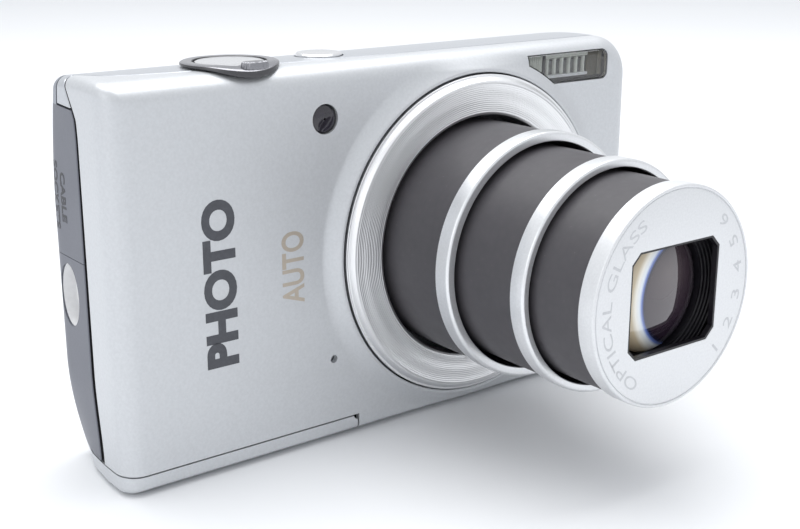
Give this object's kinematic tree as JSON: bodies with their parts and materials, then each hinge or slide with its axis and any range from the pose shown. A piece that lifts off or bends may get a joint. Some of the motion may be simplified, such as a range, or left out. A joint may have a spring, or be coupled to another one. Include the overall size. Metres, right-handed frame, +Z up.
{
  "type": "compact digital camera",
  "caption": "Slim compact digital camera standing on its base with its telescopic zoom lens run out and the lens barrier open.",
  "frame": {"origin": "on the flat bottom face, under the middle of the body's width and thickness", "axes": "+Z up, +X towards the lens side of the body, the lens points along -Y"},
  "size_m": [0.0952, 0.0614, 0.0577],
  "materials": {
    "satin": "satin anodised",
    "grey_plastic": "satin metallic paint",
    "bright": "polished",
    "nickel": "dark nickel",
    "black_plastic": "matte",
    "tube_black": "matte",
    "clear": "clear",
    "steel": "plain",
    "board": "solder mask",
    "cell": "matte",
    "label": "printed"
  },
  "bodies": {
    "body": {"front_cover": "satin", "top_cover": "grey_plastic", "rear_cover": "grey_plastic", "side_cover": "grey_plastic", "strap_well": "bright", "strap_bar": "steel", "lens_ring": "satin", "fixed_barrel": "black_plastic", "sensor_plate": "steel", "image_sensor": "cell", "flash_window": "clear", "flash_reflector": "bright", "flash_tube": "clear", "flash_capacitor": "black_plastic", "af_window": "clear", "microphone": "steel", "screen_window": "clear", "lcd_panel": "label", "battery_box": "black_plastic", "battery": "label", "card_slot": "steel", "memory_card": "label", "main_board": "board", "key_board": "board", "zoom_motor": "steel", "motor_gearbox": "black_plastic", "speaker": "black_plastic", "tripod_socket": "bright", "bottom_screw_left": "steel", "bottom_screw_right": "steel"},
    "stage_1": {"tube_1": "tube_black", "rim_1": "bright"},
    "stage_2": {"tube_2": "tube_black", "rim_2": "bright"},
    "stage_3": {"tube_3": "tube_black", "front_cap": "satin", "front_lens_cell": "black_plastic", "front_lens": "clear"},
    "cam": {"cam_ring": "steel"},
    "zoom_group": {"zoom_lens_cell": "black_plastic", "zoom_lens": "clear"},
    "focus_group": {"focus_lens_cell": "black_plastic", "focus_lens": "clear"},
    "upper_inner": {"blade_upper_inner": "black_plastic"},
    "upper_outer": {"blade_upper_outer": "black_plastic"},
    "lower_inner": {"blade_lower_inner": "black_plastic"},
    "lower_outer": {"blade_lower_outer": "black_plastic"},
    "lever": {"zoom_lever": "nickel"},
    "shutter": {"shutter_button": "bright"},
    "power": {"power_button": "bright"},
    "movie_key": {"movie_button": "grey_plastic"},
    "playback_key": {"playback_button": "grey_plastic"},
    "help_key": {"help_button": "grey_plastic"},
    "menu_key": {"menu_button": "grey_plastic"},
    "select_key": {"select_ring": "bright"},
    "set_key": {"set_button": "grey_plastic"},
    "door": {"battery_door": "satin"},
    "terminal_flap": {"terminal_cover": "grey_plastic"}
  },
  "joints": [
    {"name": "stage_1_slide", "type": "slide", "parent": "body", "child": "stage_1", "axis": [0, 1, 0], "range_m": [0, 0.0126]},
    {"name": "stage_2_slide", "type": "slide", "parent": "stage_1", "child": "stage_2", "axis": [0, 1, 0], "range_m": [0, 0.0138]},
    {"name": "stage_3_slide", "type": "slide", "parent": "stage_2", "child": "stage_3", "axis": [0, 1, 0], "range_m": [0, 0.0116]},
    {"name": "cam_turn", "type": "hinge", "parent": "body", "child": "cam", "pos_m": [0.0131, 0, 0.0278], "axis": [0, 1, 0], "range_deg": [0, 110.5]},
    {"name": "zoom_group_slide", "type": "slide", "parent": "body", "child": "zoom_group", "axis": [0, 1, 0], "range_m": [0, 0.01445]},
    {"name": "focus_slide", "type": "slide", "parent": "body", "child": "focus_group", "axis": [0, 1, 0], "range_m": [0, 0.0047]},
    {"name": "upper_inner_slide", "type": "slide", "parent": "stage_3", "child": "upper_inner", "axis": [0, 0, -1], "range_m": [0, 0.0075]},
    {"name": "upper_outer_slide", "type": "slide", "parent": "stage_3", "child": "upper_outer", "axis": [0, 0, -1], "range_m": [0, 0.0038]},
    {"name": "lower_inner_slide", "type": "slide", "parent": "stage_3", "child": "lower_inner", "axis": [0, 0, 1], "range_m": [0, 0.00755]},
    {"name": "lower_outer_slide", "type": "slide", "parent": "stage_3", "child": "lower_outer", "axis": [0, 0, 1], "range_m": [0, 0.0038]},
    {"name": "zoom_lever_turn", "type": "hinge", "parent": "body", "child": "lever", "pos_m": [-0.0255, -0.0029, 0.05665], "axis": [0, 0, 1], "range_deg": [-12, 12], "stiffness_Nm_per_rad": 0.01},
    {"name": "shutter_press", "type": "slide", "parent": "body", "child": "shutter", "axis": [0, 0, -1], "range_m": [0, 0.0008], "stiffness_N_per_m": 600},
    {"name": "power_press", "type": "slide", "parent": "body", "child": "power", "axis": [0, 0, -1], "range_m": [0, 0.0004], "stiffness_N_per_m": 600},
    {"name": "movie_press", "type": "slide", "parent": "body", "child": "movie_key", "axis": [0, -1, 0], "range_m": [0, 0.0004], "stiffness_N_per_m": 500},
    {"name": "playback_press", "type": "slide", "parent": "body", "child": "playback_key", "axis": [0, -1, 0], "range_m": [0, 0.0004], "stiffness_N_per_m": 500},
    {"name": "help_press", "type": "slide", "parent": "body", "child": "help_key", "axis": [0, -1, 0], "range_m": [0, 0.0004], "stiffness_N_per_m": 500},
    {"name": "menu_press", "type": "slide", "parent": "body", "child": "menu_key", "axis": [0, -1, 0], "range_m": [0, 0.0004], "stiffness_N_per_m": 500},
    {"name": "set_press", "type": "slide", "parent": "body", "child": "set_key", "axis": [0, -1, 0], "range_m": [0, 0.0004], "stiffness_N_per_m": 500},
    {"name": "select_rock", "type": "hinge", "parent": "body", "child": "select_key", "pos_m": [-0.031, 0.0079, 0.0255], "axis": [1, 0, 0], "range_deg": [-1.5, 1.5], "stiffness_Nm_per_rad": 0.05},
    {"name": "door_hinge", "type": "hinge", "parent": "body", "child": "door", "pos_m": [-0.0238, 0.0069, 0], "axis": [1, 0, 0], "range_deg": [0, 95]},
    {"name": "terminal_hinge", "type": "hinge", "parent": "body", "child": "terminal_flap", "pos_m": [-0.04765, 0.0048, 0.0313], "axis": [0, -1, 0], "range_deg": [0, 80]}
  ],
  "couplings": [
    {"joint": "stage_2_slide", "follows": "stage_1_slide", "ratio": 1.0675},
    {"joint": "stage_3_slide", "follows": "stage_1_slide", "ratio": 0.90079},
    {"joint": "cam_turn", "follows": "stage_1_slide", "rad_per_m": 152.37},
    {"joint": "zoom_group_slide", "follows": "stage_1_slide", "ratio": 1.1429},
    {"joint": "focus_slide", "follows": "stage_1_slide", "ratio": 0.36508},
    {"joint": "upper_outer_slide", "follows": "upper_inner_slide", "ratio": 0.5},
    {"joint": "lower_inner_slide", "follows": "upper_inner_slide", "ratio": 1},
    {"joint": "lower_outer_slide", "follows": "upper_inner_slide", "ratio": 0.5}
  ]
}
